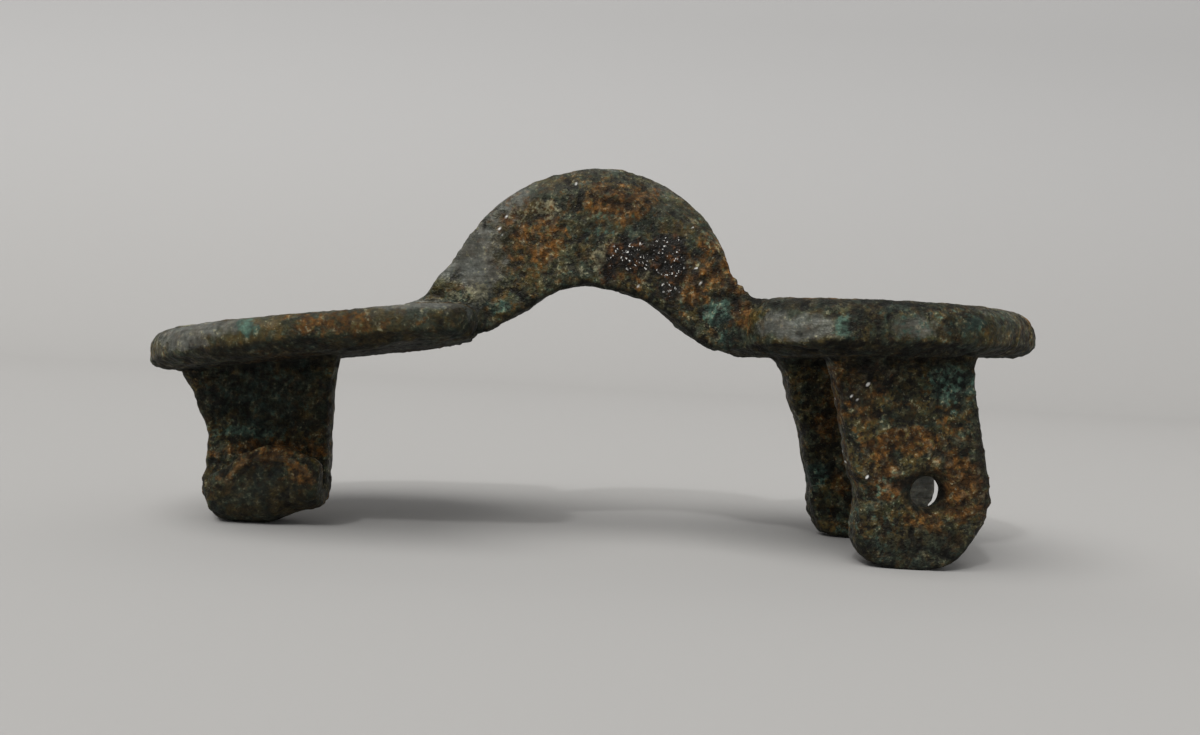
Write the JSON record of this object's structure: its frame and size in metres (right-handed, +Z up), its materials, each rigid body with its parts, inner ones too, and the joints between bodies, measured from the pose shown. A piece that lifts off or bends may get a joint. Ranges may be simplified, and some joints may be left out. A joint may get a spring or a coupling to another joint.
{
  "type": "equal-armed bow brooch (fibula), pin missing",
  "caption": "Cast bronze bow brooch with rounded plates, a thick arched bow, pierced hinge lugs and a folded catch; corroded, its pin lost.",
  "frame": {"origin": "middle of the brooch's length and width, at the level of its feet", "axes": "+X along the brooch from the catch towards the hinge, +Z up towards the top of the bow, -Y towards the side the catch opens to"},
  "size_m": [0.0512, 0.0182, 0.0215],
  "materials": {
    "corroded_bronze": "dark green-grey corrosion patina with rust stains and worn metal, matt to slightly shiny"
  },
  "bodies": {
    "root": {"brooch": "corroded_bronze"}
  },
  "joints": []
}
